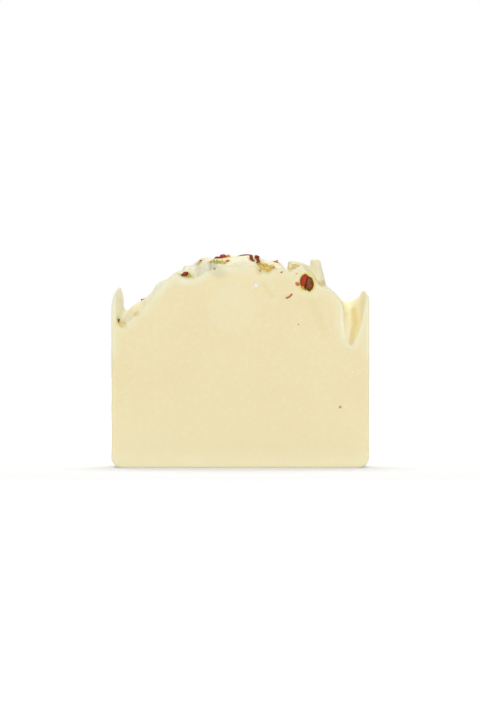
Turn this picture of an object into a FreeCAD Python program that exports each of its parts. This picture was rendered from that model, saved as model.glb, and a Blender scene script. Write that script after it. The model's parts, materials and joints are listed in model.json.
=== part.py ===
"""A hand-cut bar of loaf soap: one slice with a sculpted top and dried botanicals pressed into it.

The loaf was cast in a mould with rounded bottom edges, its top was pulled into a mound with a
spoon, and the slice was cut off upright. Millimetres. +Z is up, +X runs to the right across the
front cut face, +Y runs from the front cut face to the back one, and the origin is at the middle
of the face that lay on the floor of the mould.
"""
import FreeCAD
import Part
import math
import os

from FreeCAD import Rotation, Vector

# The slice, from its cast faces and its two cuts
bar_width = 80.0
bar_thickness = 25.0
pour_height = 50.0  # where the spooned top begins at the mould's walls
mould_corner_radius = 3.2


# The top, from the spoon that shaped it
left_foot = 20.8  # from the left wall to where the crown begins
right_foot = 11.5  # from the right wall to where the crown ends
crown_left_end = -19.2  # the crown's own drawing runs from here
crown_right_end = 28.5  # to here, and is stretched to meet both feet

limb_sides = 14  # facets round a pulled-up limb

# What seats the dried pieces in the soap
bite = 0.1  # how far the middle of a scrap lies under the surface

half_width = bar_width / 2
front_y = -bar_thickness / 2
UP = Vector(0, 0, 1)
BACKWARD = Vector(0, 1, 0)
ACROSS = Vector(1, 0, 0)

# The sculpted top is drawn as strokes from left to right. A stroke near a wall is measured in from
# that wall, a stroke of the crown from the middle of the bar, and each height from the pour line.
STROKES = [
    # name, what x is measured from, points taken along it
    ("left_tooth_outside", "left", 4),
    ("left_tooth_inside", "left", 8),
    ("left_slope", "left", 15),
    ("crown_left", "middle", 20),
    ("crown_right", "middle", 9),
    ("curl", "middle", 8),
    ("tongue", "middle", 11),
    ("right_shoulder", "right", 11),
    ("right_tooth_inside", "right", 9),
    ("right_tooth_outside", "right", 4),
]

# The top edge of the front cut face
FRONT = {
    "left_tooth_outside": [(0, 0.1), (0.4, 2.2), (1.1, 4.3)],
    "left_tooth_inside": [(1.1, 4.3), (1.3, 1.5), (1.45, -2.0), (1.8, -5.2), (2.7, -6.7)],
    "left_slope": [(2.7, -6.7), (3.5, -6.4), (4.4, -5.2), (6.4, -4.2), (7.3, -2.6), (8.7, -1.7),
                   (10.6, 0.7), (12.1, 1.9), (14.0, 4.5), (16.4, 7.6), (18.9, 9.6), (20.8, 10.6)],
    "crown_left": [(-19.2, 10.6), (-18.4, 8.9), (-15.9, 8.7), (-13.9, 9.0), (-10.0, 11.3),
                   (-6.6, 12.5), (-2.1, 12.4), (1.9, 12.0), (3.3, 12.3), (5.9, 10.5)],
    "crown_right": [(5.9, 10.5), (9.1, 10.6), (11.4, 11.7), (14.4, 11.0)],
    "curl": [(14.4, 11.0), (16.4, 11.1), (18.5, 12.8), (19.6, 12.2), (21.4, 10.4)],
    "tongue": [(21.4, 10.4), (23.5, 8.1), (24.6, 6.5), (25.8, 5.8), (27.3, 5.6), (28.5, 4.8)],
    "right_shoulder": [(11.5, 4.8), (10.3, 3.4), (8.8, 1.5), (8.2, -1.0), (8.0, -4.5), (7.8, -8.0),
                       (7.1, -11.3), (5.7, -12.8)],
    "right_tooth_inside": [(5.7, -12.8), (4.8, -12.1), (3.6, -9.2), (2.5, -6.0), (1.9, -1.9),
                           (1.3, 1.6), (1.1, 4.3)],
    "right_tooth_outside": [(1.1, 4.3), (0.5, 3.6), (0, -0.2)],
}

# The highest line of the top, behind the front cut face
CREST = {
    "left_tooth_outside": [(0, 0.3), (0.8, 3.4), (2.2, 6.4)],
    "left_tooth_inside": [(2.2, 6.4), (2.8, 5.4), (3.4, 2.2), (3.8, -0.8), (4.3, -1.4)],
    "left_slope": [(4.3, -1.4), (5.3, -0.9), (7.2, 0.9), (9.6, 2.2), (11.2, 3.5), (12.7, 5.1),
                   (14.3, 7.4), (15.5, 8.2), (18.2, 9.2), (19.5, 10.6), (20.8, 11.0)],
    "crown_left": [(-19.2, 11.0), (-18.2, 11.3), (-17.3, 13.0), (-15.6, 12.9), (-13.8, 13.9),
                   (-11.6, 15.3), (-10.3, 15.5), (-8.8, 15.2), (-5.0, 15.3), (-1.0, 15.8),
                   (3.0, 16.0), (5.9, 15.6)],
    "crown_right": [(5.9, 15.6), (8.4, 14.5), (11.2, 14.3), (12.8, 13.4), (13.8, 12.1), (14.4, 11.4)],
    "curl": [(14.4, 11.4), (15.3, 12.7), (16.6, 12.9), (18.5, 12.6), (19.8, 12.4), (21.4, 11.6)],
    "tongue": [(21.4, 11.6), (23.0, 9.9), (24.6, 8.0), (25.8, 6.8), (27.3, 6.2), (28.5, 5.1)],
    "right_shoulder": [(11.5, 5.1), (9.8, 3.4), (8.6, 2.2), (7.4, 1.9), (6.2, 1.8)],
    "right_tooth_inside": [(6.2, 1.8), (4.8, 2.1), (3.6, 2.6), (2.6, 3.3), (2.2, 4.3), (1.4, 5.2)],
    "right_tooth_outside": [(1.4, 5.2), (0.6, 3.6), (0, -0.2)],
}

# The top edge of the back cut face
BACK = {
    "left_tooth_outside": [(0, -1.0), (0.7, 1.4), (1.6, 3.0)],
    "left_tooth_inside": [(1.6, 3.0), (2.1, 2.4), (2.6, -1.2), (3.2, -3.8), (4.4, -4.8)],
    "left_slope": [(4.4, -4.8), (6.4, -4.0), (9.0, -1.5), (12.0, 2.2), (15.0, 5.4), (18.0, 7.8),
                   (20.8, 9.4)],
    "crown_left": [(-19.2, 9.4), (-16.6, 10.8), (-13.5, 11.5), (-11.5, 13.0), (-8.0, 13.6),
                   (-4.0, 13.0), (0.0, 13.9), (3.0, 13.7), (5.9, 12.4)],
    "crown_right": [(5.9, 12.4), (8.6, 12.0), (11.4, 11.6), (14.4, 10.4)],
    "curl": [(14.4, 10.4), (17.2, 11.0), (19.4, 10.8), (21.4, 9.8)],
    "tongue": [(21.4, 9.8), (24.0, 8.4), (26.4, 6.2), (28.5, 4.0)],
    "right_shoulder": [(11.5, 4.0), (9.8, 2.0), (8.6, -0.6), (7.6, -3.8), (6.0, -5.0)],
    "right_tooth_inside": [(6.0, -5.0), (4.6, -3.8), (3.2, -1.2), (2.2, 1.4), (1.5, 2.9)],
    "right_tooth_outside": [(1.5, 2.9), (0.7, 2.0), (0, -0.6)],
}

# The deep furrow by the right wall, on its way up from the front cut face
FURROW_LOW = {
    "right_shoulder": [(11.5, 5.0), (9.9, 3.4), (8.5, 1.4), (7.8, -1.2), (7.2, -4.0), (6.3, -6.6),
                       (5.1, -8.2)],
    "right_tooth_inside": [(5.1, -8.2), (4.2, -7.2), (3.3, -4.6), (2.4, -1.4), (1.8, 1.8), (1.2, 4.8)],
}
FURROW_HIGH = {
    "right_shoulder": [(11.5, 5.1), (9.8, 3.6), (8.3, 2.0), (7.2, 0.2), (6.0, -2.0), (4.7, -3.4)],
    "right_tooth_inside": [(4.7, -3.4), (3.7, -2.4), (2.9, -0.2), (2.3, 2.0), (1.8, 3.8), (1.2, 5.0)],
}


def place(anchor, x):
    """Where a drawn x lies on the bar."""
    if anchor == "left":
        return x - half_width
    if anchor == "right":
        return half_width - x
    first, last = left_foot - half_width, half_width - right_foot
    return first + (x - crown_left_end) * (last - first) / (crown_right_end - crown_left_end)


def stroke_points(stroke, anchor, count, rows):
    """The stroke's own line at equal steps, as (x, height above the pour line)."""
    line = Part.BSplineCurve()
    line.interpolate([Vector(place(anchor, x), 0, height) for x, height in rows[stroke]])
    return line.discretize(Number=count)


def section(rows, fallback=None):
    """One row of points from wall to wall. Strokes that rows lacks come from fallback."""
    points = []
    for stroke, anchor, count in STROKES:
        source = rows if stroke in rows else fallback
        taken = stroke_points(stroke, anchor, count, source)
        points += taken if not points else taken[1:]
    for point in points:
        point.x = max(-half_width, min(half_width, point.x))
    return points


def blend(first, second, share):
    """A section part of the way from first to second, point by point."""
    return [a * (1 - share) + b * share for a, b in zip(first, second)]


def behind(share, furrow):
    """A section part of the way up to the crest, with the deep furrow as given."""
    between = blend(section(FRONT), section(CREST), share)
    crest_and_furrow = section(furrow, CREST)
    first = sum(count - 1 for _, _, count in STROKES[:-3]) + 2
    last = len(between) - STROKES[-1][2]
    return between[:first] + crest_and_furrow[first:last] + between[last:]


# The sections of the top on their way back, as (distance behind the front cut, its row of points)
front_row = section(FRONT)
crest_row = section(CREST)
back_row = section(BACK)
STATIONS = [
    (0.0, front_row),
    (0.8, blend(front_row, behind(0.5, FURROW_LOW), 0.35)),
    (3.0, blend(behind(0.65, FURROW_LOW), behind(0.65, FURROW_HIGH), 0.5)),
    (6.0, blend(behind(1.0, FURROW_HIGH), crest_row, 0.5)),
    (9.5, crest_row),
    (13.5, crest_row),
    (bar_thickness - 6.0, blend(crest_row, back_row, 0.35)),
    (bar_thickness - 1.5, back_row),
    (bar_thickness, back_row),
]


def clamped_knots(count, degree):
    """Even knots and their multiplicities for a curve of this many poles that starts and ends on one."""
    inner = count - degree - 1
    return list(range(inner + 2)), [degree + 1] + [1] * inner + [degree + 1]


def thread(index):
    """One line of the top from cut to cut, drawn smoothly through its place in each section."""
    poles = [Vector(row[index].x, front_y + distance, pour_height + row[index].z)
             for distance, row in STATIONS]
    knots, mults = clamped_knots(len(poles), 3)
    curve = Part.BSplineCurve()
    curve.buildFromPolesMultsKnots(poles, mults, knots, False, 3)
    return curve.toShape()


def mould_outline(y, top_points):
    """The edges of a cut face: the mould's floor, rounded corners and walls, and the top's own line."""
    def at(x, z):
        return Vector(x, y, z)

    r = mould_corner_radius
    slant = r * math.sqrt(0.5)
    left, right = -half_width, half_width
    edges = [
        Part.makeLine(top_points[0], at(left, r)),
        Part.Arc(at(left, r), at(left + r - slant, r - slant), at(left + r, 0)).toShape(),
        Part.makeLine(at(left + r, 0), at(right - r, 0)),
        Part.Arc(at(right - r, 0), at(right - r + slant, r - slant), at(right, r)).toShape(),
        Part.makeLine(at(right, r), top_points[-1]),
    ]
    return edges, [Part.makeLine(a, b) for a, b in zip(top_points, top_points[1:])]


def cast_and_spooned():
    """The slice as mould, spoon and the two cuts leave it."""
    threads = [thread(index) for index in range(len(front_row))]
    front_points = [Vector(p.x, front_y, pour_height + p.z) for p in front_row]
    back_points = [Vector(p.x, -front_y, pour_height + p.z) for p in back_row]
    front_mould, front_top = mould_outline(front_y, front_points)
    back_mould, back_top = mould_outline(-front_y, back_points)
    faces = [Part.makeRuledSurface(near, far) for near, far in zip(threads, threads[1:])]
    faces += [Part.Face(Part.Wire(Part.__sortEdges__(front_mould + front_top))),
              Part.Face(Part.Wire(Part.__sortEdges__(back_mould + back_top)))]
    for wall, line in ((0, threads[0]), (4, threads[-1])):
        ends = [edge.Vertexes for edge in (front_mould[wall], back_mould[wall])]
        foot = [min(pair, key=lambda vertex: vertex.Z).Point for pair in ends]
        sides = [front_mould[wall], Part.makeLine(*foot), back_mould[wall], line]
        faces.append(Part.Face(Part.Wire(Part.__sortEdges__(sides))))
    faces += [front_mould[k].extrude(BACKWARD * bar_thickness) for k in (1, 2, 3)]
    shell = Part.makeShell(faces)
    shell.sewShape()
    solid = Part.makeSolid(shell)
    if solid.Volume < 0:
        solid.reverse()
    return solid


def through(rings):
    """A closed solid through rings of points, with flat facets between them."""
    return Part.makeLoft([Part.makePolygon(ring + ring[:1]) for ring in rings], True, True)


def turned(centre, first, second, sides):
    """Points round an oval with these two half axes."""
    angles = [2 * math.pi * k / sides for k in range(sides)]
    return [centre + first * math.cos(angle) + second * math.sin(angle) for angle in angles]


def limb(rings):
    """A pulled-up limb of soap. A ring is (x on the crown, distance behind the front cut, height above
    the pour line, half axis, other half axis)."""
    return through([turned(Vector(place("middle", x), front_y + back, pour_height + up), first, second,
                           limb_sides) for x, back, up, first, second in rings])


def flat_ring(x, back, up, half_wide, half_deep):
    """A level ring of a limb that stands up."""
    return x, back, up, Vector(half_wide, 0, 0), Vector(0, half_deep, 0)


def upright_ring(x, back, up, half_high, half_deep):
    """An upright ring of a limb that runs across the bar."""
    return x, back, up, Vector(0, 0, half_high), Vector(0, half_deep, 0)


tongue = limb([
    flat_ring(24.5, 5.4, 1.0, 2.9, 3.8),
    flat_ring(24.4, 5.2, 6.5, 2.4, 3.2),
    flat_ring(24.0, 5.2, 9.5, 2.1, 2.8),
    flat_ring(23.6, 5.3, 12.4, 1.8, 2.2),
    flat_ring(23.4, 5.5, 14.1, 1.6, 1.7),
    flat_ring(23.2, 5.6, 14.9, 1.1, 1.0),
])
curl_foot = limb([
    flat_ring(15.6, 3.8, 9.0, 1.2, 1.6),
    flat_ring(15.4, 3.8, 12.0, 0.8, 1.5),
    flat_ring(15.5, 3.8, 13.7, 0.7, 1.2),
])
curl_arch = limb([
    upright_ring(14.9, 3.6, 13.2, 0.7, 1.0),
    upright_ring(15.8, 3.6, 13.6, 0.8, 1.7),
    upright_ring(17.6, 3.6, 13.4, 0.7, 2.0),
    upright_ring(19.4, 3.8, 12.9, 0.7, 2.0),
    upright_ring(21.2, 4.2, 12.0, 0.8, 1.9),
    upright_ring(22.8, 4.6, 10.6, 0.8, 1.4),
])
curl_hollow = limb([
    upright_ring(15.9, 1.7, 12.5, 0.3, 0.5),
    upright_ring(16.7, 1.6, 12.5, 0.55, 1.1),
    upright_ring(18.0, 1.6, 12.2, 0.5, 1.1),
    upright_ring(19.0, 1.7, 11.9, 0.25, 0.5),
])


def first_met(start, direction):
    """The first point of the soap on a ray."""
    ray = Part.makeLine(start, start + direction * 4 * bar_width)
    met = [vertex.Point for vertex in soap.common(ray).Vertexes]
    return min(met, key=start.distanceToPoint)


def seen_at(anchor, x, up):
    """The point of the soap that shows here from the front."""
    return first_met(Vector(place(anchor, x), -bar_width, pour_height + up), BACKWARD)


def lying_at(anchor, x, back):
    """The point of the top this far behind the front cut."""
    return first_met(Vector(place(anchor, x), front_y + back, pour_height + bar_width), -UP)


soap = cast_and_spooned()
soap = soap.fuse([tongue, curl_foot, curl_arch]).cut(curl_hollow)

# The spoon's edge left a run of small flutes up the left of the crown.
flute_radius = 0.55
flute_depth = 0.5
flute_reach = 7.0  # from the front cut back
flute_starts = [-14.7, -13.4, -12.1, -10.9, -9.7]
flute_lean = 0.9
flute_stops = 4
flutes = []
for x in flute_starts:
    rings = []
    for stop in range(flute_stops + 1):
        share = stop / flute_stops
        bed = lying_at("middle", x + flute_lean * share, 0.3 + (flute_reach - 0.3) * share)
        shallow = flute_depth * (1 - share)
        centre = bed + UP * (flute_radius - shallow)
        rings.append(turned(centre, ACROSS * flute_radius, UP * flute_radius, 8))
    rings.insert(0, [point - BACKWARD for point in rings[0]])
    flutes.append(through(rings))
soap = soap.cut(flutes)


def rounded(wide, deep, high, sides=12, bands=7):
    """A faceted grain of these overall sizes, standing on its long axis."""
    rings = []
    for band in range(bands + 1):
        angle = math.pi * (0.06 + 0.88 * band / bands)
        girth = math.sin(angle)
        rings.append(turned(Vector(0, 0, -high / 2 * math.cos(angle)), Vector(wide / 2 * girth, 0, 0),
                            Vector(0, deep / 2 * girth, 0), sides))
    return through(rings)


def shard(wide, high, wall):
    """A cupped piece of a dried berry's shell with its hollow side to the front."""
    cup = rounded(wide, wide, high, 10, 5)
    hollow = rounded(wide - 2 * wall, wide - 2 * wall, high - 2 * wall, 10, 5)
    front = Part.makeBox(wide * 2, wide, high * 2, Vector(-wide, -wide, -high))
    return cup.cut([hollow, front])


def ribbon(path, wide, thick):
    """A thin strip along a path in the X-Z plane, its width across the path and its back in the soap."""
    rings = []
    for k, (x, z) in enumerate(path):
        before, after = path[max(k - 1, 0)], path[min(k + 1, len(path) - 1)]
        run = Vector(after[0] - before[0], 0, after[1] - before[1])
        run.normalize()
        side = run.cross(BACKWARD) * wide / 2
        ply = BACKWARD * thick / 2
        centre = Vector(x, 0, z)
        corners = [centre - side - ply, centre + side - ply, centre + side + ply, centre - side + ply]
        rings.append(corners)
    return through(rings)


def flake(wide, high, thick, sides=6):
    """A flat scrap with a few broken edges."""
    corners = []
    for k in range(sides):
        angle = 2 * math.pi * k / sides
        reach = 1.0 if k % 2 else 0.82
        corners.append(Vector(wide / 2 * reach * math.cos(angle), 0, high / 2 * reach * math.sin(angle)))
    face = Part.Face(Part.makePolygon(corners + corners[:1]))
    return face.extrude(BACKWARD * thick).translated(-BACKWARD * thick / 2)


def floret(length, foot, mouth, sides=6):
    """A dried flower tube, narrow at its foot and flared at its mouth, along Z."""
    rings = []
    for share, radius in ((0.0, foot), (0.65, foot * 1.1), (1.0, mouth)):
        rings.append(turned(Vector(0, 0, length * (share - 0.5)), Vector(radius, 0, 0),
                            Vector(0, radius, 0), sides))
    return through(rings)


pieces = {}


def press(name, shape, point, roll=0, tip=0, sink=bite):
    """Turn a piece (roll in the plane of the cut, tip back on to its slope), sink it in at point, and
    trim it to the pieces that already lie there."""
    turn = Rotation(ACROSS, tip).multiply(Rotation(BACKWARD, roll))
    outward = Rotation(ACROSS, tip).multVec(-BACKWARD)
    piece = shape.copy()
    piece.Placement = FreeCAD.Placement(point - outward * sink, turn).multiply(piece.Placement)
    neighbours = [other for other in pieces.values()
                  if other.BoundBox.intersect(piece.BoundBox) and other.distToShape(piece)[0] < 1e-6]
    if neighbours:
        piece = max(piece.cut(neighbours).Solids, key=lambda solid: solid.Volume)
    pieces[name] = piece


# The broken peppercorn in the front cut face, in a pocket that its shell and seed fill
seed_wide, seed_deep, seed_high = 3.0, 3.0, 4.6
shell_wall = 0.35
seed_x, seed_up = 21.2, 7.1
seed_show = 0.8  # how far the seed stands out of the cut
seed_point = Vector(place("middle", seed_x), front_y, pour_height + seed_up)
seed = rounded(seed_wide, seed_deep, seed_high)
press("peppercorn_seed", seed, seed_point, roll=-8, sink=seed_deep / 2 - seed_show)
shell_spread = 1.1  # how far the broken shell stands open beside the seed
shell = rounded(seed_wide + 2 * shell_wall + shell_spread, seed_deep + 2 * shell_wall,
                seed_high + 2 * shell_wall)
opening = 2 * seed_high
right_side = Part.makeBox(opening, 2 * opening, 2 * opening, Vector(0.2, -opening, -opening))
proud = Part.makeBox(2 * opening, opening, 2 * opening,
                     Vector(-opening, -opening - (seed_deep / 2 - seed_show) - 0.15, -opening))
press("peppercorn_shell", shell.cut([right_side, proud]), seed_point + Vector(-0.4, 0, 0.5), roll=-8,
      sink=seed_deep / 2 - seed_show)

# Scraps of shell, bark and stalk dragged over the cut face by the wire
ON_THE_CUT = [
    # name, outline, anchor, x, height above the pour line, roll
    ("shell_crumb", flake(1.3, 1.3, 0.8), 17.75, 7.0, 10),
    ("shell_fleck", flake(0.9, 0.6, 0.6), 12.8, 10.6, -20),
    ("shell_sliver", ribbon([(-1.0, -0.55), (-0.3, -0.4), (0.4, 0.1), (1.0, 0.75)], 0.45, 0.5), 15.1, 3.2, 0),
    ("bark_speck", flake(0.5, 0.6, 0.5, 5), 18.0, -5.6, 0),
    ("face_speck", flake(0.75, 0.8, 0.6, 5), 31.0, -31.2, 15),
    ("yellow_speck", flake(0.8, 0.7, 0.5, 5), 17.4, 10.2, 0),
]
for name, shape, x, up, roll in ON_THE_CUT:
    point = Vector(place("middle", x), front_y, pour_height + up)
    press(name, shape, point, roll, sink=0.2)

# What lies in the two furrows and on the crown, seen from the front
SEEN = [
    # name, shape, anchor, x, height above the pour line, roll, tip
    ("stalk_end", ribbon([(-0.1, -0.8), (0.0, 0.0), (0.2, 0.8)], 0.5, 0.8), "left", 2.2, -4.6, 0, 0),
    ("petal_scrap", flake(1.4, 1.1, 0.9), "left", 3.5, -5.6, 20, 0),
    ("yellow_scrap", flake(0.8, 0.7, 0.8, 5), "left", 7.7, -2.2, 0, 0),
    ("husk_left", rounded(1.5, 1.5, 2.6, 10, 5), "middle", -17.3, 9.9, 60, 0),
    ("floret_left", floret(1.6, 0.35, 0.6), "middle", -16.1, 9.3, 60, 0),
    ("husk_ridge", flake(1.3, 0.9, 0.7), "middle", -12.4, 14.1, -40, -30),
    ("floret_ridge", floret(1.3, 0.3, 0.5), "middle", -12.9, 13.4, 50, -30),
    ("floret_crown_a", floret(1.5, 0.35, 0.6), "middle", -8.7, 14.0, 75, -40),
    ("floret_crown_b", floret(1.5, 0.35, 0.6), "middle", -7.5, 13.6, 40, -40),
    ("floret_crown_c", floret(1.6, 0.4, 0.65), "middle", -6.3, 13.7, 80, -40),
    ("bract_crown_a", flake(1.5, 1.1, 0.7), "middle", -5.1, 13.5, 15, -40),
    ("bract_crown_b", flake(1.3, 1.2, 0.7), "middle", -4.0, 14.0, -30, -40),
    ("petal_a", flake(2.6, 2.0, 1.0), "middle", 5.9, 13.1, 25, -35),
    ("petal_b", flake(2.4, 1.9, 1.0), "middle", 7.7, 12.7, -15, -35),
    ("petal_c", flake(2.4, 1.8, 1.0), "middle", 9.4, 12.2, -40, -35),
    ("petal_d", flake(2.6, 1.6, 0.9), "middle", 7.0, 11.6, 10, -25),
    ("petal_e", flake(2.4, 1.6, 0.9), "middle", 8.9, 11.3, -20, -25),
    ("bract_olive", flake(1.2, 0.9, 0.8, 5), "middle", 5.9, 10.9, 0, -10),
    ("bract_orange", flake(0.8, 1.6, 0.8, 5), "middle", 10.5, 11.8, -20, -10),
    ("floret_bump", floret(1.4, 0.35, 0.6), "middle", 11.0, 13.9, 85, -40),
    ("curl_strip", ribbon([(-0.5, 1.2), (-0.2, 0.4), (-0.1, -0.5), (0.5, -1.1)], 0.8, 1.1),
     "middle", 3.7, 14.8, 0, -35),
    ("hook_strip", ribbon([(-0.6, 1.2), (0.4, 0.9), (0.2, 0.0), (0.6, -0.7), (-0.5, -1.2)], 0.75, 1.1),
     "middle", 5.2, 14.6, 0, -35),
]
for name, shape, anchor, x, up, roll, tip in SEEN:
    press(name, shape, seen_at(anchor, x, up), roll, tip)

# What lies along the crest
ON_TOP = [
    # name, shape, anchor, x, distance behind the front cut, roll, tip, lift above the soap
    ("leaf_flake", ribbon([(-0.7, -0.1), (0.0, 0.0), (0.7, 0.25)], 0.5, 1.0), "left", 9.6, 12.0, 0, 0, 0.1),
    ("shell_curl", ribbon([(-0.8, -0.2), (-0.3, 0.25), (0.3, 0.3), (0.9, -0.1)], 0.6, 1.2),
     "middle", -7.2, 9.0, 0, 0, 0.1),
    ("shell_petal", shard(1.9, 1.5, 0.3), "middle", -5.4, 8.0, 15, -30, 0.3),
    ("golden_lump", flake(1.3, 1.6, 1.3, 7), "middle", -3.8, 8.6, 0, -20, 0.2),
    ("long_strip", ribbon([(-2.6, -0.6), (-1.3, -0.1), (0.1, 0.15), (1.5, 0.1), (2.7, -0.3)], 0.6, 1.2),
     "middle", 1.4, 9.5, 0, 0, 0.05),
]
for name, shape, anchor, x, back, roll, tip, lift in ON_TOP:
    press(name, shape, lying_at(anchor, x, back) + UP * lift, roll, tip, sink=0)

soap = soap.cut(list(pieces.values()))
pieces["soap_bar"] = max(soap.Solids, key=lambda solid: solid.Volume)

os.makedirs("parts", exist_ok=True)
for name, shape in pieces.items():
    shape.exportStep("parts/" + name + ".step")
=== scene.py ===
"""The dressed bar of soap: its own skin, its dried botanicals, and the white set it stands in."""
import json
import math

import bpy
from mathutils import Matrix, Vector
from mathutils.bvhtree import BVHTree
from mathutils.kdtree import KDTree

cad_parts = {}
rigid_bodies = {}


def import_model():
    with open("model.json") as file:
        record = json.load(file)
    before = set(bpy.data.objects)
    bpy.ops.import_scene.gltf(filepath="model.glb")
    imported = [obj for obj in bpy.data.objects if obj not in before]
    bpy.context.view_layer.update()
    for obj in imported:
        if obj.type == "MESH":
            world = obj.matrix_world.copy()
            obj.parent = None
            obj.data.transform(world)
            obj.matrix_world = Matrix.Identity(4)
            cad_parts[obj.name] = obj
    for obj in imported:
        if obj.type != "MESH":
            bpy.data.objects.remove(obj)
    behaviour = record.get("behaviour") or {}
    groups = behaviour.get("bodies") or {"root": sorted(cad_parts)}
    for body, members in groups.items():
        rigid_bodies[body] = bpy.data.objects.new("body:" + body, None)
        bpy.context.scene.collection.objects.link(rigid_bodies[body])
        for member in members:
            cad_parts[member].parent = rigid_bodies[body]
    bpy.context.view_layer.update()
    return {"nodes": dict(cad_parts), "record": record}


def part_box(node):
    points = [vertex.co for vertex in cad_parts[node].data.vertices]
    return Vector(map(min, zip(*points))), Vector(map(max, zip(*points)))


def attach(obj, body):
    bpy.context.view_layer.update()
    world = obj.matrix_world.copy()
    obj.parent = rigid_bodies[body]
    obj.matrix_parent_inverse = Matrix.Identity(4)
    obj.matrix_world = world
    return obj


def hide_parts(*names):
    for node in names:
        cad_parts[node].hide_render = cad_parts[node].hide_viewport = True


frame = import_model()
nodes = frame["nodes"]
mm = 0.001

# The bar, as the frame holds it
bar_low, bar_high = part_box("soap_bar")
half_width = bar_high.x / mm
front = bar_low.y / mm
back = bar_high.y / mm
pour_line = 50.0


def srgb(red, green, blue):
    """A colour as seen on a screen, from 0 to 255, made linear."""
    def linear(value):
        share = value / 255
        return share / 12.92 if share <= 0.04045 else ((share + 0.055) / 1.055) ** 2.4
    return linear(red), linear(green), linear(blue), 1.0


def step(value, start, end):
    """0 at start, 1 at end, and smooth between them."""
    share = max(0.0, min(1.0, (value - start) / (end - start)))
    return share * share * (3 - 2 * share)


# Shader maths


class Wire:
    """A number on a socket, so that sums of masks read as sums."""

    def __init__(self, finish, socket):
        self.finish = finish
        self.socket = socket

    def maths(self, operation, *values):
        return self.finish.add("ShaderNodeMath", {"operation": operation}, *values)

    def __add__(self, other):
        return self.maths("ADD", self, other)

    def __sub__(self, other):
        return self.maths("SUBTRACT", self, other)

    def __mul__(self, other):
        return self.maths("MULTIPLY", self, other)

    def __truediv__(self, other):
        return self.maths("DIVIDE", self, other)

    def __rsub__(self, other):
        return self.maths("SUBTRACT", other, self)

    __radd__ = __add__
    __rmul__ = __mul__

    def size(self):
        return self.maths("ABSOLUTE", self)

    def larger(self, other):
        return self.maths("MAXIMUM", self, other)

    def smaller(self, other):
        return self.maths("MINIMUM", self, other)

    def fade(self, start, end):
        """0 at start, 1 at end, and smooth between them."""
        low, high = min(start, end), max(start, end)
        rising = start < end
        return self.finish.add("ShaderNodeMapRange", {"interpolation_type": "SMOOTHSTEP"}, self, low, high,
                               0.0 if rising else 1.0, 1.0 if rising else 0.0)


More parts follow.
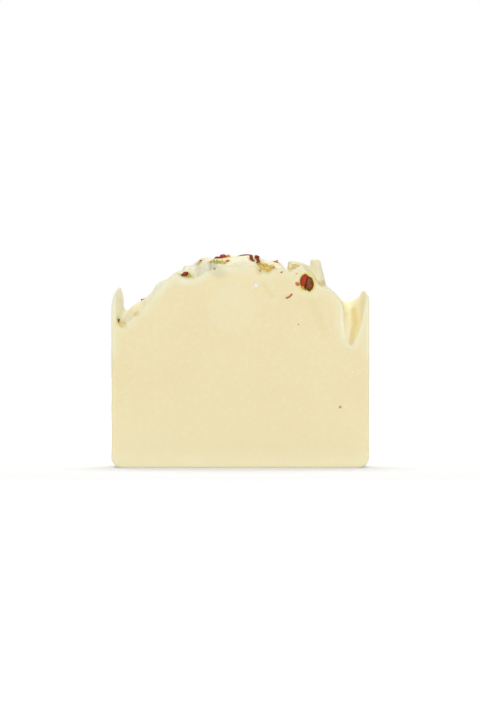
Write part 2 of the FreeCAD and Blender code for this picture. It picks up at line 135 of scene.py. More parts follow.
class Finish:
    """A material of one Principled surface, built from sums of masks."""

    def __init__(self, name, roughness=0.5, **constants):
        self.material = bpy.data.materials.new(name)
        self.material.use_nodes = True
        self.tree = self.material.node_tree
        self.surface = self.tree.nodes["Principled BSDF"]
        self.set(self.surface, "Roughness", roughness)
        for socket, value in constants.items():
            self.set(self.surface, socket.replace("_", " "), value)
        place = self.tree.nodes.new("ShaderNodeTexCoord").outputs["Object"]
        scaled = self.tree.nodes.new("ShaderNodeVectorMath")
        scaled.operation = "SCALE"
        scaled.inputs["Scale"].default_value = 1 / mm
        self.tree.links.new(place, scaled.inputs[0])
        self.place = Wire(self, scaled.outputs[0])
        self.x, self.y, self.z = self.add("ShaderNodeSeparateXYZ", {}, self.place, every=True)

    def set(self, node, socket, value):
        target = node.inputs[socket]
        if isinstance(value, Wire):
            self.tree.links.new(value.socket, target)
        else:
            target.default_value = value

    def add(self, kind, settings, *values, every=False, output=0, **named):
        """Any node: its settings first, then what its sockets hold."""
        node = self.tree.nodes.new(kind)
        for setting, value in settings.items():
            setattr(node, setting, value)
        for socket, value in enumerate(values):
            self.set(node, socket, value)
        for socket, value in named.items():
            self.set(node, socket.replace("_", " "), value)
        if every:
            return [Wire(self, out) for out in node.outputs]
        return Wire(self, node.outputs[output])

    def marked(self, name):
        """What the mesh holds under this name at each point."""
        return self.add("ShaderNodeAttribute", {"attribute_name": name}, output="Fac")

    def noise(self, size, detail=2.0, rough=0.5, shift=(0, 0, 0), stretch=(1, 1, 1)):
        """Cloudy noise from 0 to 1, with lumps about this many millimetres across."""
        moved = self.add("ShaderNodeMapping", {}, Vector=self.place, Location=shift, Scale=stretch)
        return self.add("ShaderNodeTexNoise", {"noise_dimensions": "3D"}, Vector=moved, Scale=1 / size,
                        Detail=detail, Roughness=rough)

    def cells(self, size, shift):
        """Distance to the nearest of a scatter of points about this many millimetres apart."""
        moved = self.add("ShaderNodeMapping", {}, Vector=self.place, Location=shift)
        return self.add("ShaderNodeTexVoronoi", {"feature": "F1"}, Vector=moved, Scale=1 / size)

    def spot(self, x, up, wide, high, behind=None, deep=None, turn=0.0):
        """1 at a place on the bar, fading smoothly to 0 at its edge. Up is from the pour line."""
        across, rise = self.x - x, self.z - (pour_line + up)
        if turn:
            cos, sin = math.cos(math.radians(turn)), math.sin(math.radians(turn))
            across, rise = across * cos + rise * sin, rise * cos - across * sin
        far = (across / wide) * (across / wide) + (rise / high) * (rise / high)
        if behind is not None:
            inward = (self.y - (front + behind)) / deep
            far = far + inward * inward
        return far.fade(1.0, 0.0)

    def streak(self, start, end, width):
        """1 along a line over the front, fading smoothly to 0 at this distance from it."""
        run = (end[0] - start[0], end[1] - start[1])
        length = math.hypot(*run)
        across, rise = self.x - start[0], self.z - (pour_line + start[1])
        along = (across * (run[0] / length) + rise * (run[1] / length)).larger(0.0).smaller(length)
        off_x, off_z = across - along * (run[0] / length), rise - along * (run[1] / length)
        return ((off_x * off_x + off_z * off_z) / (width * width)).fade(1.0, 0.0)

    def mix(self, share, first, second):
        """Colour first, turning to second where share is 1."""
        node = self.tree.nodes.new("ShaderNodeMix")
        node.data_type = "RGBA"
        self.set(node, 0, share)
        self.set(node, 6, first)
        self.set(node, 7, second)
        return Wire(self, node.outputs[2])

    def colour(self, value):
        self.set(self.surface, "Base Color", value)

    def relief(self, *layers):
        """Bumps in millimetres, the broadest first."""
        normal = None
        for height, depth in layers:
            bump = self.tree.nodes.new("ShaderNodeBump")
            bump.inputs["Distance"].default_value = depth * mm
            self.set(bump, "Height", height)
            if normal:
                self.tree.links.new(normal, bump.inputs["Normal"])
            normal = bump.outputs[0]
        self.tree.links.new(normal, self.surface.inputs["Normal"])


# Working on meshes


def only(piece=None):
    """Make this the one selected and active object, or select nothing."""
    if bpy.context.mode != "OBJECT":
        bpy.ops.object.mode_set(mode="OBJECT")
    bpy.ops.object.select_all(action="DESELECT")
    if piece:
        piece.select_set(True)
        bpy.context.view_layer.objects.active = piece


def kept_in_mesh(piece):
    """Move the piece's place, turn and scale into its mesh."""
    only(piece)
    bpy.ops.object.transform_apply(location=True, rotation=True, scale=True)


def added(name):
    """The primitive just added, named."""
    piece = bpy.context.active_object
    piece.name = piece.data.name = name
    kept_in_mesh(piece)
    return piece


def apply(piece, kind, **settings):
    """Add a modifier and apply it at once."""
    only(piece)
    modifier = piece.modifiers.new(kind.title(), kind)
    for setting, value in settings.items():
        setattr(modifier, setting, value)
    bpy.ops.object.modifier_apply(modifier=modifier.name)


def copied(node, name):
    """A welded copy of a CAD node."""
    piece = bpy.data.objects.new(name, nodes[node].data.copy())
    piece.data.name = name
    bpy.context.scene.collection.objects.link(piece)
    only(piece)
    bpy.ops.object.mode_set(mode="EDIT")
    bpy.ops.mesh.select_all(action="SELECT")
    bpy.ops.mesh.remove_doubles(threshold=1e-6)
    bpy.ops.object.mode_set(mode="OBJECT")
    return piece


def clouds(name, size, depth=2):
    """A cloud pattern for displacement, with lumps this many millimetres across."""
    pattern = bpy.data.textures.new(name, "CLOUDS")
    pattern.noise_scale = size * mm
    pattern.noise_depth = depth
    return pattern


def roughened(piece, size, strength, **settings):
    """Push the piece's surface in and out by a cloud pattern."""
    apply(piece, "DISPLACE", texture=clouds(piece.name + " lumps", size), strength=strength * mm,
          mid_level=0.5, texture_coords="LOCAL", **settings)


def weighted(piece, name, rule):
    """A vertex group whose weights come from a rule on each point, in millimetres, and its normal."""
    group = piece.vertex_groups.new(name=name)
    for vertex in piece.data.vertices:
        weight = rule(vertex.co / mm, vertex.normal)
        if weight > 0:
            group.add([vertex.index], min(weight, 1.0), "REPLACE")
    return group.name


def mark(piece, name, values):
    """Keep one number for each point of the mesh, for the finish to read."""
    piece.data.attributes.new(name, "FLOAT", "POINT").data.foreach_set("value", values)


def dressed(piece, finish, slot, *stands_for):
    """Give a piece its finish and its body, and let it stand for the solids it covers."""
    only(piece)
    bpy.ops.object.shade_smooth()
    piece.data.materials.clear()
    piece.data.materials.append(finish.material)
    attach(piece, "root")
    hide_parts(*stands_for)
    return piece


# The dried pieces


def dried(name, colour, shade, roughness=0.6, patch=0.7, rim=None, **constants):
    """A finish for a dried piece: a colour, a darker shade of it in patches, and a wrinkled relief.

    A rim is the spot that keeps the colour, and the colour of what lies outside it."""
    finish = Finish(name, roughness=roughness, Specular_IOR_Level=0.15, **constants)
    patches = finish.noise(patch, 3, 0.6).fade(0.38, 0.62)
    body = finish.mix(patches, srgb(*colour), srgb(*shade))
    if rim:
        body = finish.mix(finish.spot(*rim[0]).fade(0.3, 0.1), body, srgb(*rim[1]))
    finish.colour(body)
    finish.relief((finish.noise(0.5, 3, 0.6), 0.1), (finish.noise(0.15, 2), 0.03))
    return finish


finishes = {
    "seed": dried("peppercorn seed", (80, 36, 20), (150, 86, 44), 0.35, 0.6),
    "red_shell": dried("red shell", (204, 58, 54), (168, 62, 40), 0.4, 0.9),
    "dark_shell": dried("dark shell", (160, 56, 38), (124, 62, 34), 0.45),
    "bark": dried("bark", (150, 98, 50), (88, 52, 26), 0.7),
    "dried_petal": dried("dried petal", (228, 203, 120), (205, 160, 74), 0.7, 1.0),
    "dried_floret": dried("dried floret", (212, 202, 124), (184, 168, 78), 0.75),
    "orange_bract": dried("orange bract", (218, 162, 72), (192, 108, 44), 0.7),
    "olive_bract": dried("olive bract", (204, 190, 100), (160, 144, 62), 0.7),
}
orange_grit = dried("orange grit", (234, 158, 84), (208, 122, 60), 0.7)
# The shell's foot outside its rim takes the soap's yellow, made paler as painted light against the shade of
# its pocket
peppercorn_shell = dried("peppercorn shell", (206, 56, 50), (176, 62, 38), 0.4, 0.9,
                         rim=((20.3, 8.5, 2.6, 3.0), (230, 204, 100)))
pale_petal = dried("pale petal", (238, 224, 152), (226, 200, 116), 0.7)
coral_crumb = dried("coral crumb", (232, 104, 78), (214, 130, 84), 0.5, 0.8)
coral_sliver = dried("coral sliver", (218, 82, 66), (176, 108, 52), 0.5, 1.6)
own_finish = {"face_speck": orange_grit, "shell_crumb": coral_crumb, "shell_sliver": coral_sliver,
              "husk_ridge": finishes["red_shell"], "petal_scrap": pale_petal, "yellow_scrap": pale_petal,
              "floret_bump": finishes["orange_bract"], "bract_crown_a": finishes["dried_petal"]}


def laid(piece, node, roll=0.0, tip=0.0, nearer=0.0):
    """Turn a piece in the plane of the cut, tip it back on its slope, and set it where its solid lies."""
    low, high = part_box(node)
    turn = Matrix.Rotation(math.radians(tip), 4, "X") @ Matrix.Rotation(math.radians(roll), 4, "Y")
    piece.matrix_world = Matrix.Translation((low + high) / 2 + Vector((0, -nearer, 0)) * mm) @ turn
    kept_in_mesh(piece)
    return piece


def blade(node, wide, high, cup=80, curl=40, narrow=0.5, crinkle=0.35):
    """A dried petal or bract: an oval blade, cupped across, curled along and crinkled."""
    only()
    bpy.ops.mesh.primitive_grid_add(x_subdivisions=10, y_subdivisions=12, size=mm)
    piece = added(node + "_skin")
    apply(piece, "CAST", cast_type="CYLINDER", use_z=False, factor=0.9)
    piece.rotation_euler.x = math.pi / 2
    piece.scale = (wide, high, 1)
    kept_in_mesh(piece)
    apply(piece, "SIMPLE_DEFORM", deform_method="TAPER", deform_axis="Z", factor=narrow)
    apply(piece, "SIMPLE_DEFORM", deform_method="BEND", deform_axis="Z", angle=math.radians(cup))
    apply(piece, "SIMPLE_DEFORM", deform_method="BEND", deform_axis="X", angle=math.radians(curl))
    roughened(piece, 0.6, crinkle)
    apply(piece, "SOLIDIFY", thickness=0.16 * mm, offset=0)
    apply(piece, "SUBSURF", levels=1, render_levels=1)
    return piece


def floret(node, length, foot, mouth):
    """A dried flower tube: narrow at its foot, its mouth split into small teeth."""
    only()
    bpy.ops.mesh.primitive_cone_add(vertices=12, radius1=foot * mm, radius2=mouth * mm, depth=length * mm,
                                    end_fill_type="NOTHING")
    piece = added(node + "_skin")
    bpy.ops.object.mode_set(mode="EDIT")
    bpy.ops.mesh.select_all(action="SELECT")
    bpy.ops.mesh.subdivide(number_cuts=3)
    bpy.ops.object.mode_set(mode="OBJECT")
    teeth = weighted(piece, "teeth", lambda p, n: step(p.z, length * 0.2, length * 0.5)
                     * (0.5 + 0.5 * math.cos(6 * math.atan2(p.y, p.x))))
    apply(piece, "DISPLACE", strength=0.3 * mm, mid_level=0, vertex_group=teeth)
    roughened(piece, 0.5, 0.3)
    apply(piece, "SOLIDIFY", thickness=0.18 * mm, offset=-1)
    apply(piece, "SUBSURF", levels=1, render_levels=1)
    return piece


def half_shell(node, wide, deep, high, keep, wall=0.3, rough=0.35):
    """A cracked piece of a berry's shell: what is left of a hollow grain behind these cutting planes."""
    only()
    bpy.ops.mesh.primitive_uv_sphere_add(segments=28, ring_count=18, radius=0.5 * mm)
    piece = added(node + "_skin")
    piece.scale = (wide, deep, high)
    kept_in_mesh(piece)
    roughened(piece, 1.0, rough)
    for point, away in keep:
        bpy.ops.object.mode_set(mode="EDIT")
        bpy.ops.mesh.select_all(action="SELECT")
        bpy.ops.mesh.bisect(plane_co=Vector(point) * mm, plane_no=away, clear_outer=True)
        bpy.ops.object.mode_set(mode="OBJECT")
    apply(piece, "SOLIDIFY", thickness=wall * mm, offset=-1)
    apply(piece, "SUBSURF", levels=1, render_levels=1)
    return piece


def grain(node, wide, deep, high, narrow=0.0, rough=0.4, lumps=0.8):
    """A whole seed or a lumpy crumb."""
    only()
    bpy.ops.mesh.primitive_ico_sphere_add(subdivisions=4, radius=0.5 * mm)
    piece = added(node + "_skin")
    piece.scale = (wide, deep, high)
    kept_in_mesh(piece)
    if narrow:
        apply(piece, "SIMPLE_DEFORM", deform_method="TAPER", deform_axis="Z", factor=narrow)
    roughened(piece, lumps, rough)
    roughened(piece, lumps / 3, rough / 3)
    return piece


def strip(node, rough=0.2, fuller=0.0):
    """A dried strip of peel or stalk: its solid rounded, swollen by this much and wrinkled.

    It is kept no taller than its solid."""
    piece = copied(node, node + "_skin")
    apply(piece, "SUBSURF", levels=3, render_levels=3, subdivision_type="SIMPLE")
    apply(piece, "SMOOTH", factor=0.5, iterations=5)
    if fuller:
        apply(piece, "DISPLACE", strength=fuller * mm, mid_level=0)
    roughened(piece, 0.5, rough)
    over = max(vertex.co.z for vertex in piece.data.vertices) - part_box(node)[1].z
    piece.location.z = -max(0.0, over)
    kept_in_mesh(piece)
    return piece


slot_of = {entry["node"]: entry["material_slot"] for entry in frame["record"]["subparts"]}

# Each dried piece: its maker and measures, then how it lies, as laid() takes it
laid_pieces = [
    ("peppercorn_seed", grain, (3.15, 2.8, 4.7, 0.35, 0.45, 0.9), -8, 0, 0.0),
    ("shell_crumb", grain, (1.35, 0.7, 1.3, 0, 0.7, 0.6), 10, 0, 0.0),
    ("shell_fleck", grain, (1.0, 0.6, 0.6, 0, 0.3, 0.5), -20, 0, 0.0),
    ("bark_speck", grain, (0.5, 0.5, 0.6, 0, 0.2, 0.4), 0, 0, 0.0),
    ("face_speck", grain, (0.95, 0.7, 0.95, 0, 0.25, 0.5), 15, 0, 0.0),
    ("yellow_speck", grain, (0.9, 0.5, 0.7, 0, 0.25, 0.5), 0, 0, 0.0),
    ("petal_scrap", grain, (1.5, 0.9, 1.1, 0, 0.4, 0.6), 20, 0, 0.1),
    ("yellow_scrap", grain, (0.8, 0.8, 0.7, 0, 0.3, 0.5), 0, 0, 0.0),
    ("husk_left", grain, (2.6, 1.4, 1.5, 0, 0.5, 0.8), -25, 0, 0.0),
    ("husk_ridge", grain, (1.4, 0.9, 0.9, 0, 0.4, 0.7), -40, 0, 0.0),
    ("golden_lump", grain, (1.4, 1.4, 1.7, 0, 0.6, 0.6), 0, -20, 0.0),
    ("shell_petal", half_shell, (2.2, 1.9, 2.1, [((0, 0.1, 0), (0, 1, 0))]), 15, -12, 0.2),
    ("floret_left", floret, (1.6, 0.35, 0.6), 60, 0, 0.0),
    ("floret_ridge", floret, (1.3, 0.3, 0.5), 50, -30, 0.0),
    ("floret_crown_a", floret, (1.6, 0.35, 0.65), 75, -40, 0.0),
    ("floret_crown_b", floret, (1.6, 0.35, 0.65), 40, -40, 0.0),
    ("floret_crown_c", floret, (1.7, 0.4, 0.7), 80, -40, 0.0),
    ("floret_bump", floret, (1.4, 0.35, 0.6), 85, -40, 0.0),
    ("bract_crown_a", blade, (2.3, 1.7), 15, -25, 0.2),
    ("bract_crown_b", blade, (2.0, 1.6), -30, -25, 0.2),
    ("bract_olive", blade, (1.3, 1.1), 0, -10, 0.1),
    ("bract_orange", blade, (0.9, 1.7), -20, -10, 0.1),
    ("petal_a", blade, (3.0, 2.4), 25, -35, 0.0),
    ("petal_b", blade, (2.8, 2.2, 60, 60), -15, -35, 0.1),
    ("petal_c", blade, (2.9, 2.1, 90, 30), -40, -35, 0.0),
    ("petal_d", blade, (3.0, 2.0, 50, 50), 10, -25, 0.1),
    ("petal_e", blade, (2.8, 2.0, 70, 20), -20, -25, 0.1),
]
for node, made, measures, roll, tip, nearer in laid_pieces:
    piece = laid(made(node, *measures), node, roll, tip, nearer)
    dressed(piece, own_finish.get(node, finishes[slot_of[node]]), slot_of[node], node)

# The peppercorn's shell stands round its seed, a little off its middle, with one side and its foot gone
shell_breaks = [((-0.8, 0, 0), (1, 0, -0.45)), ((0, 0, -2.0), (0, 0, -1))]
shell_offset = Vector((-0.3, 0.05, 0.35))
shell_lean = -8
shell = half_shell("peppercorn_shell", 4.4, 3.2, 5.0, shell_breaks, wall=0.4, rough=0.3)
low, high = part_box("peppercorn_seed")
shell.matrix_world = (Matrix.Translation((low + high) / 2 + shell_offset * mm)
                      @ Matrix.Rotation(math.radians(shell_lean), 4, "Y"))
kept_in_mesh(shell)
dressed(shell, peppercorn_shell, "red_shell", "peppercorn_shell")

# Each strip, and how much it is swollen beyond its solid, in millimetres
strips = [("shell_sliver", 0.05), ("stalk_end", 0.0), ("leaf_flake", 0.0), ("shell_curl", 0.15),
          ("long_strip", 0.22), ("curl_strip", 0.05), ("hook_strip", 0.05)]
for node, fuller in strips:
    dressed(strip(node, fuller=fuller), own_finish.get(node, finishes[slot_of[node]]), slot_of[node], node)

peppercorn = [shell, bpy.data.objects["peppercorn_seed_skin"]]

# The pieces that bled colour into the soap: all but the specks and scraps dragged over the cut face
dragged = ["shell_crumb_skin", "shell_fleck_skin", "shell_sliver_skin", "bark_speck_skin",
           "face_speck_skin", "yellow_speck_skin"]
bleeding = [piece for piece in bpy.context.scene.objects
            if piece.name.endswith("_skin") and piece.name not in dragged]


# The soap


def away_from(points, reach):
    """A rule for how far a place is from the nearest of these points, and at most reach. Millimetres."""
    tree = KDTree(len(points))
    for index, point in enumerate(points):
        tree.insert(point, index)
    tree.balance()
    return lambda place: min(reach, tree.find(place)[2] / mm)


def hollows(piece, rows, reach):
    """How much of what each point faces is more soap within reach, from 0 to 1."""
    tree = BVHTree.FromObject(piece, bpy.context.evaluated_depsgraph_get())
    turn = math.pi * (3 - math.sqrt(5))
    outlooks = []
    for k in range(rows):
        height = 1 - 2 * (k + 0.5) / rows
        girth = math.sqrt(1 - height * height)
        outlooks.append(Vector((girth * math.cos(turn * k), girth * math.sin(turn * k), height)))

    def share(vertex):
        start = vertex.co + vertex.normal * 0.15 * mm
        facing = [way for way in outlooks if way.dot(vertex.normal) > 0.2]
        met = sum(tree.ray_cast(start, way, reach * mm)[0] is not None for way in facing)
        return met / len(facing)
    return share


cream = srgb(238, 225, 180)
warm_cream = srgb(236, 221, 172)
pale_cream = srgb(238, 231, 196)
chalk = srgb(244, 240, 218)
gold = srgb(228, 202, 124)

# Places on the front are given as far across and as far up from the pour line, in millimetres.
# The edge of the dried skin round the right furrow
skin_edge = [(27.8, 5.1), (29.7, 3.5), (31.2, 1.8), (32.1, -0.8), (31.5, -3.0), (31.3, -5.5), (32.1, -9.7),
             (33.4, -12.0), (34.3, -12.6), (35.7, -10.7), (37.3, -6.5), (38.3, -0.5)]

# The tints of the spooned top, three of them painted light where its slopes lie in shade: place and reach,
# where in its fade each is full, its share and colour
top_tints_and_light = [
    ((-28.5, 2.5, 7, 7), 0.6, 0.8, (255, 246, 208)),  # the slope above the left furrow, paled as painted light
    ((35, -4, 10, 14), 0.4, 0.85, (252, 239, 192)),  # the right furrow, its flanks paled as painted light
    ((-31, -1.5, 5.5, 6), None, 0.5, (250, 232, 190)),  # the left furrow, pinker
    ((-38.5, 3, 3.5, 8), None, 0.9, (246, 242, 216)),  # the left tooth
    ((-24.5, 6.5, 7, 6), 0.5, 0.8, (254, 248, 216)),  # the ridge behind the left lip, paled as painted light
    ((24.5, 11.5, 4, 6), None, 0.6, (248, 240, 206)),  # the tongue
]


def cut_face(soap, face):
    """Faint clouds, fine mottling, pale specks of undissolved fat, and a paler disc."""
    body = soap.mix(soap.noise(22, 2).fade(0.3, 0.7) * 0.6, cream, warm_cream)
    body = soap.mix(soap.noise(1.6, 3, 0.6).fade(0.4, 0.75) * 0.2, body, chalk)
    specks = soap.cells(2.4, (3, 5, 1)).fade(0.18, 0.07) * soap.noise(5, 1).fade(0.4, 0.58)
    dots = soap.cells(1.2, (1, 2, 7)).fade(0.26, 0.14) * soap.noise(3, 1, 0.5, (4, 4, 4)).fade(0.45, 0.6)
    body = soap.mix((specks * 0.6 + dots * 0.4) * face, body, chalk)
    disc = soap.spot(-2.6, -0.5, 9.5, 9.5, 0, 3).fade(0.28, 0.42)
    return soap.mix(disc * 0.3, body, pale_cream)


def dragged_marks(soap, body, face, lump):
    """What the wire dragged down the cut, and the lump it left."""
    drag = (soap.streak((7.0, 6.9), (9.9, 3.2), 0.9) * 0.4
            + soap.streak((22.0, 1.5), (26.5, -8.5), 1.8) * 0.3
            + soap.streak((-8.4, 12.0), (-7.0, 10.0), 1.5) * 0.2)
    body = soap.mix(drag * face, body, srgb(230, 214, 158))
    return soap.mix(lump.fade(0.1, 0.5), body, srgb(246, 243, 228))


def dried_pale(soap, body, face, below_skin):
    """The skin that dried pale: by the walls, by the mould's floor, and under the edge of the top; and
    painted light paling the lower face against the shade there.
    """
    wall = soap.x.size().fade(half_width - 1.4, half_width - 0.2)
    # Partly pale skin by the mould's floor, partly painted light over the lower face where the shade falls
    floor = soap.z.fade(30, 2) * 0.35 + soap.z.fade(7.0, 0.2) * 0.4
    body = soap.mix(wall * 0.7, body, srgb(236, 229, 194))
    body = soap.mix(floor, body, srgb(250, 241, 206))
    body = soap.mix(below_skin.fade(3.6, 0.2) * face * 0.7, body, srgb(239, 233, 197))
    body = soap.mix(below_skin.fade(0.9, 0.2) * face * 0.8, body, chalk)
    crown = soap.spot(-14, 7, 16, 9).fade(0.0, 0.4)
    return soap.mix(crown * below_skin.fade(3.0, 0.4) * face * 0.5, body, srgb(240, 238, 212))


def spooned_skin(soap, flutes, combing):
    """The top: pale lips, a combed left crown, the tints of its parts with painted light on some, and
    golden painted shade in its hollows.
    """
    skin = soap.mix(soap.noise(3, 3, 0.6).fade(0.35, 0.65), srgb(238, 233, 202), srgb(234, 226, 184))
    skin = soap.mix(flutes * 0.8, skin, srgb(240, 236, 208))
    skin = soap.mix(combing * 0.5, skin, srgb(226, 220, 186))
    for place, full, share, colour in top_tints_and_light:
        patch = soap.spot(*place)
        skin = soap.mix((patch.fade(0.0, full) if full else patch) * share, skin, srgb(*colour))
    # Golden painted shade in the top's hollows, by how much soap each point faces
    return soap.mix(soap.marked("hollow").fade(0.4, 0.9) * 0.6, skin, srgb(236, 214, 150))


def furrow_and_curl(soap, body, top, face, near):
    """The right furrow's lobe paled by painted light, golden painted shade in its crease, its pale edge,
    and golden painted shade inside the curl and the fold.
    """
    # Golden painted shade along the crease, fading towards the back, and painted light paling the lobe
    # beside it
    crease = soap.streak((35.2, -1.0), (35.6, -5.0), 1.3)
    crease = crease.larger(soap.streak((35.6, -5.0), (34.4, -11.5), 1.1))
    lobe = soap.spot(32.5, -4, 3.0, 8.0).fade(0.0, 0.5)
    body = soap.mix(lobe * top * 0.8, body, srgb(255, 247, 210))
    body = soap.mix(crease * soap.y.fade(back, front + 8) * 0.55, body, srgb(228, 202, 120))
    for start, end in zip(skin_edge, skin_edge[1:]):
        body = soap.mix(soap.streak(start, end, 0.55) * face * 0.5, body, chalk)
    # Golden painted shade inside the curl and the fold, near the front
    curl = soap.spot(15.2, 11.7, 0.8, 1.2).larger(soap.spot(17.2, 12.0, 1.4, 0.8))
    fold = soap.spot(25.2, 7.4, 1.6, 1.1, turn=-20)
    return soap.mix(curl.larger(fold) * top * near * 0.85, body, gold)


def bled(soap, body, near):
    """What the dried pieces bled into the soap, yellow round each and paler round the peppercorn as painted
    light against the shade of its pocket; and blue-grey patches below the left crown.
    """
    body = soap.mix(soap.marked("stain").fade(1.3, 0.2) * 0.55, body, srgb(222, 206, 132))
    # Yellow stain round the peppercorn, made paler as painted light against the shade of its pocket
    body = soap.mix(soap.marked("pepper_stain").fade(1.4, 0.1) * 0.8, body, srgb(242, 226, 116))
    body = soap.mix(soap.spot(19.2, 5.9, 1.4, 1.6, 0, 2.5) * 0.7, body, srgb(232, 208, 84))
    crumbs = soap.spot(21.4, 4.9, 0.5, 0.4, 0, 1).larger(soap.spot(20.2, 5.2, 0.35, 0.3, 0, 1))
    body = soap.mix(crumbs, body, srgb(122, 84, 40))
    body = soap.mix(soap.spot(-8.3, 12.9, 1.7, 1.5, 1, 5, 30) * 0.6, body, srgb(182, 188, 178))
    body = soap.mix(soap.spot(-7.2, 10.9, 4.2, 2.6, 0, 4, -25) * 0.42, body, srgb(202, 199, 164))
    body = soap.mix(soap.streak((-9.6, 13.9), (-9.3, 11.6), 0.6) * near * 0.3, body, srgb(150, 156, 142))
    body = soap.mix(soap.spot(-8.0, 11.7, 0.6, 0.5, 1, 4), body, srgb(160, 136, 98))
    smear = soap.spot(-17.2, 7.6, 2.2, 0.8, 0, 1.5, 10) * soap.noise(0.8, 3, 0.6).fade(0.4, 0.6)
    return soap.mix(smear * 0.8, body, chalk)


def soap_finish():
    """The soap: its cut face, what lies on it, its spooned top, and the colour that bled into both."""
    soap = Finish("soap", roughness=0.45, Subsurface_Weight=0.3, Subsurface_Scale=0.002,
                  Subsurface_Radius=(1.0, 0.75, 0.4), Specular_IOR_Level=0.3, IOR=1.45)
    top = soap.marked("spooned_top")
    face = 1 - top
    near = soap.y.fade(front + 10, front + 5)
    lump = soap.spot(5.0, 6.3, 1.05, 0.6, 0, 1.0, 15).larger(soap.spot(4.7, 6.8, 0.6, 0.8, 0, 1.0, -20))
    flutes = soap.spot(-12, 12, 7, 5)
    combing = flutes * soap.noise(1.0, 2, 0.5, (0, 0, 0), (1.0, 0.12, 0.16)).fade(0.42, 0.6)

    body = cut_face(soap, face)
    body = dragged_marks(soap, body, face, lump)
    body = dried_pale(soap, body, face, soap.marked("below_skin"))
    body = soap.mix(top, body, spooned_skin(soap, flutes, combing))
    body = furrow_and_curl(soap, body, top, face, near)
    soap.colour(bled(soap, body, near))
    soap.relief((soap.noise(6, 2), 0.1), (combing * top, -0.12), (soap.noise(0.9, 3, 0.6), 0.03),
                (lump, 0.2))
    return soap


# The soap's skin, in millimetres
skin_cell = 0.34
spooned_from, spooned_full = 33, 38  # how high above the base the roughness of the top begins and is full
marks_above = 32  # below this height the marks round the top needn't be measured
skin_reach = 8
stain_reach = 3
hollow_reach = 7


def make_soap():
    """The soap's skin from its solid: an even mesh, coarser where it is plain, roughened on the top."""
    soap = copied("soap_bar", "soap_skin")
    apply(soap, "REMESH", mode="VOXEL", voxel_size=skin_cell * mm, use_smooth_shade=True)
    apply(soap, "SMOOTH", factor=0.5, iterations=3)
    plain = weighted(soap, "plain", lambda p, n: 1 if p.z < spooned_from + 1 or p.y > back - 0.1 else 0)
    apply(soap, "DECIMATE", ratio=0.55, vertex_group=plain)
    spooned = weighted(soap, "spooned", lambda p, n: step(p.z, spooned_from, spooned_full)
                       * step(1 - abs(n.y), 0.02, 0.3)
                       * step(1 - abs(n.x), 0.0, 0.1 if abs(p.x) > half_width - 0.3 else 0.001))
    roughened(soap, 2.4, 0.4, vertex_group=spooned)
    roughened(soap, 0.9, 0.14, vertex_group=spooned)
    points = soap.data.vertices
    group = soap.vertex_groups[spooned].index
    top = [max((g.weight for g in vertex.groups if g.group == group), default=0.0) for vertex in points]
    to_skin = away_from([vertex.co for vertex, share in zip(points, top) if share > 0.6], skin_reach)
    to_dried = away_from([vertex.co for piece in bleeding for vertex in piece.data.vertices], stain_reach)
    to_pepper = away_from([vertex.co for piece in peppercorn for vertex in piece.data.vertices],
                          stain_reach)
    # How much soap each point of the top faces, for the golden painted shade in its hollows
    hollow = hollows(soap, 40, hollow_reach)
    upper = [vertex.co.z > marks_above * mm for vertex in points]
    mark(soap, "spooned_top", top)
    mark(soap, "below_skin", [to_skin(v.co) if near else skin_reach for v, near in zip(points, upper)])
    mark(soap, "hollow", [hollow(v) if share > 0.1 else 0 for v, share in zip(points, top)])
    mark(soap, "stain", [to_dried(v.co) for v in points])
    mark(soap, "pepper_stain", [to_pepper(v.co) for v in points])
    return soap


soap = dressed(make_soap(), soap_finish(), "soap", "soap_bar")

# The set: a white floor and room, one lamp above and behind the bar, and one in front of it

picture_width = 480  # pixels
mm_per_pixel = 80 / 258
camera_distance = 1200.0
camera_height = 33.4


def make_camera():
    lens = bpy.data.cameras.new("camera")
    lens.sensor_fit = "HORIZONTAL"
    lens.sensor_width = 36
    lens.lens = lens.sensor_width * camera_distance / (picture_width * mm_per_pixel)
    lens.clip_start = 0.05
    lens.clip_end = 50
    camera = bpy.data.objects.new("camera", lens)
    camera.location = Vector((-0.1, front - camera_distance, camera_height)) * mm
    camera.rotation_euler = (math.pi / 2, 0, 0)
    bpy.context.scene.collection.objects.link(camera)
    bpy.context.scene.camera = camera


def as_seen(finish):
    """1 where the camera looks straight at a surface, or at its mirror image or through glass."""
    looks = finish.add("ShaderNodeLightPath", {}, every=True)
    named = dict(zip((out.socket.name for out in looks), looks))
    return named["Is Camera Ray"].larger(named["Is Glossy Ray"]).larger(named["Is Transmission Ray"])


def floor_glow(paper):
    """What the paper adds to the light on it to be seen as white: least by the bar, where the shadow is."""
    off = paper.x * paper.x + paper.y * paper.y
    round_the_bar = off.fade(70 ** 2, 320 ** 2) * 0.4
    far_away = off.fade(300 ** 2, 2500 ** 2) * 0.3
    return round_the_bar + far_away + 0.135


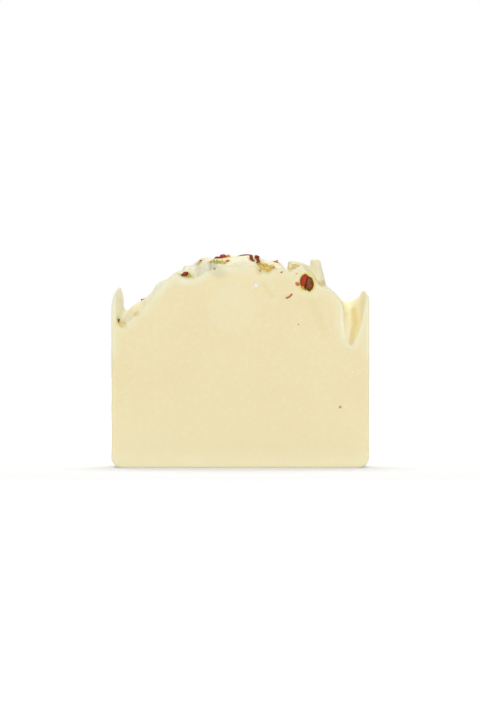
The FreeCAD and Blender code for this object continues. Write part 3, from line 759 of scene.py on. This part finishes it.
def floor_paper():
    """Paper that takes a shadow, and that the camera sees as white where there is none."""
    paper = Finish("floor paper", roughness=0.9, Specular_IOR_Level=0.0, Emission_Strength=1.0)
    paper.colour(srgb(250, 250, 250))
    glow = paper.mix(as_seen(paper) * floor_glow(paper), (0, 0, 0, 1), (1, 1, 1, 1))
    paper.set(paper.surface, "Emission Color", glow)
    return paper


def make_floor():
    only()
    bpy.ops.mesh.primitive_plane_add(size=12)
    floor = added("floor")
    floor.data.materials.append(floor_paper().material)


def light(name, size, power, place, target=(0, 0, 0.03)):
    lamp = bpy.data.lights.new(name, "AREA")
    lamp.shape = "DISK"
    lamp.size = size
    lamp.energy = power
    holder = bpy.data.objects.new(name, lamp)
    holder.location = place
    holder.rotation_euler = (Vector(target) - Vector(place)).to_track_quat("-Z", "Y").to_euler()
    bpy.context.scene.collection.objects.link(holder)


def make_room():
    world = bpy.context.scene.world or bpy.data.worlds.new("room")
    bpy.context.scene.world = world
    world.use_nodes = True
    tree = world.node_tree
    tree.nodes.clear()
    out = tree.nodes.new("ShaderNodeOutputWorld")
    soft = tree.nodes.new("ShaderNodeBackground")
    soft.inputs["Color"].default_value = (1, 1, 1, 1)
    soft.inputs["Strength"].default_value = 0.5
    white = tree.nodes.new("ShaderNodeBackground")
    white.inputs["Color"].default_value = (1, 1, 1, 1)
    white.inputs["Strength"].default_value = 1.0
    path = tree.nodes.new("ShaderNodeLightPath")
    seen = tree.nodes.new("ShaderNodeMath")
    seen.operation = "ADD"
    seen.use_clamp = True
    glass = tree.nodes.new("ShaderNodeMath")
    glass.operation = "MAXIMUM"
    choose = tree.nodes.new("ShaderNodeMixShader")
    tree.links.new(path.outputs["Is Glossy Ray"], glass.inputs[0])
    tree.links.new(path.outputs["Is Transmission Ray"], glass.inputs[1])
    tree.links.new(path.outputs["Is Camera Ray"], seen.inputs[0])
    tree.links.new(glass.outputs[0], seen.inputs[1])
    tree.links.new(seen.outputs[0], choose.inputs[0])
    tree.links.new(soft.outputs[0], choose.inputs[1])
    tree.links.new(white.outputs[0], choose.inputs[2])
    tree.links.new(choose.outputs[0], out.inputs[0])


make_camera()
make_floor()
make_room()
light("overhead", size=0.6, power=4.2, place=(0.0, 0.45, 0.85))
light("front", size=0.5, power=8.55, place=(0.05, -1.6, 0.25))

bpy.context.scene.view_settings.view_transform = "Standard"
